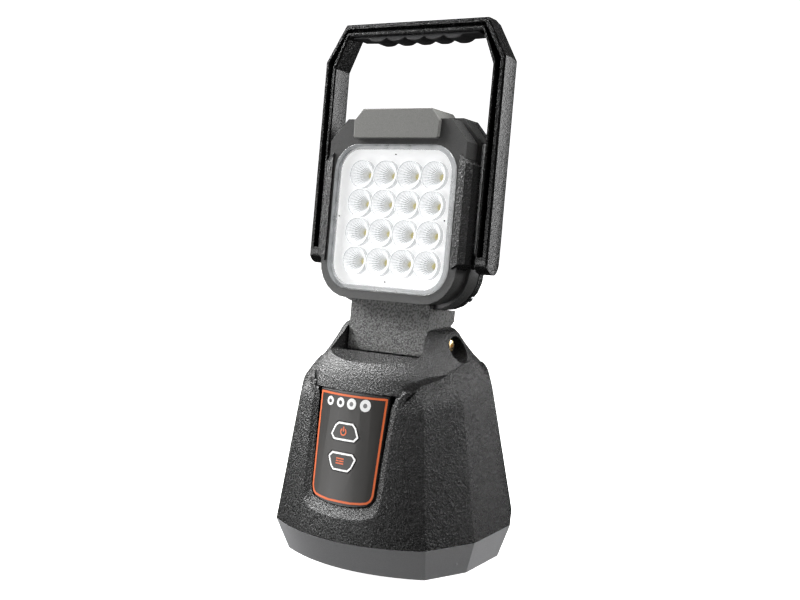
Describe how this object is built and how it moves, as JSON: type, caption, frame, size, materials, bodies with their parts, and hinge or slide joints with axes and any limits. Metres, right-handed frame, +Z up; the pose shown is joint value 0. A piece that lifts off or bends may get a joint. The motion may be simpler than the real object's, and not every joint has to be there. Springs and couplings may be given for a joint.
{
  "type": "work light",
  "caption": "Rechargeable work light: faceted magnetic base with a control panel, tilting square LED head with moulded optics, and a swinging carry handle.",
  "frame": {"origin": "middle of the underside of the base, on the surface the light stands on", "axes": "+Z up, -Y the way the lamp and the control panel face, +X to the right of someone looking along +Y"},
  "size_m": [0.14, 0.132, 0.3234],
  "materials": {
    "foot_ring": "satin smooth",
    "bottom_plate": "matte",
    "zinc_screw": "zinc plated",
    "magnet_cup": "nickel plated",
    "magnet": "sintered ferrite",
    "black_rubber": "matte",
    "body_shell": "coarse spark texture",
    "top_yoke": "fine spark texture",
    "inner_plastic": "moulded",
    "battery_cells": "shrink sleeve",
    "cell_links": "nickel strip",
    "green_board": "solder mask",
    "charge_socket": "drawn steel",
    "control_overlay": "printed polyester",
    "key_film": "printed polyester",
    "charge_lights": "diffusing",
    "tact_switches": "moulded",
    "neck_plastic": "fine spark texture",
    "hinge_inserts": "turned",
    "hinge_screws": "yellow zinc",
    "head_bezel": "satin",
    "top_pad": "fine spark texture",
    "rail_plastic": "fine spark texture",
    "lens_cover": "clear",
    "lens_seal": "matte",
    "optics": "clear",
    "optic_carrier": "white",
    "led_board": "white solder mask",
    "led_chips": "phosphor",
    "heat_sink": "extruded",
    "rear_cover": "fine spark texture",
    "handle_frame": "fine spark texture",
    "grip_insert": "satin"
  },
  "bodies": {
    "base": {"foot_ring": "foot_ring", "bottom_plate": "bottom_plate", "bottom_screws": "zinc_screw", "magnet_cup": "magnet_cup", "magnet": "magnet", "magnet_pad": "black_rubber", "body_shell": "body_shell", "top_yoke": "top_yoke", "chassis_plate": "inner_plastic", "yoke_screws": "zinc_screw", "battery_cells": "battery_cells", "cell_holder": "inner_plastic", "cell_links": "cell_links", "charge_board": "green_board", "charge_socket": "charge_socket", "panel_frame": "inner_plastic", "control_overlay": "control_overlay", "charge_lights": "charge_lights", "control_board": "green_board", "tact_switches": "tact_switches"},
    "head": {"neck_front": "neck_plastic", "neck_block": "neck_plastic", "hinge_inserts": "hinge_inserts", "hinge_screws": "hinge_screws", "hinge_washers": "zinc_screw", "head_bezel": "head_bezel", "top_pad": "top_pad", "left_rail": "rail_plastic", "right_rail": "rail_plastic", "lens_cover": "lens_cover", "lens_seal": "lens_seal", "optics": "optics", "optic_carrier": "optic_carrier", "led_board": "led_board", "led_chips": "led_chips", "heat_sink": "heat_sink", "head_seal": "black_rubber", "rear_cover": "rear_cover", "cover_screws": "zinc_screw", "handle_pins": "zinc_screw", "handle_washers": "zinc_screw"},
    "handle": {"handle_frame": "handle_frame", "grip_insert": "grip_insert"},
    "power_key": {"power_button": "key_film"},
    "mode_key": {"mode_button": "key_film"},
    "port_flap": {"port_cover": "black_rubber"}
  },
  "joints": [
    {"name": "head_tilt", "type": "hinge", "parent": "base", "child": "head", "pos_m": [0, 0.002, 0.1298], "axis": [-1, 0, 0], "range_deg": [-50, 50]},
    {"name": "handle_swing", "type": "hinge", "parent": "head", "child": "handle", "pos_m": [0, 0.00398, 0.18063], "axis": [-1, 0, 0], "range_deg": [-90, 90]},
    {"name": "power_press", "type": "slide", "parent": "base", "child": "power_key", "axis": [0, 0.981, -0.1938], "range_m": [0, 0.0005], "stiffness_N_per_m": 2000},
    {"name": "mode_press", "type": "slide", "parent": "base", "child": "mode_key", "axis": [0, 0.981, -0.1938], "range_m": [0, 0.0005], "stiffness_N_per_m": 2000},
    {"name": "port_flap_open", "type": "hinge", "parent": "base", "child": "port_flap", "pos_m": [0, 0.06071, 0.03904], "axis": [-1, 0, 0], "range_deg": [0, 95]}
  ]
}
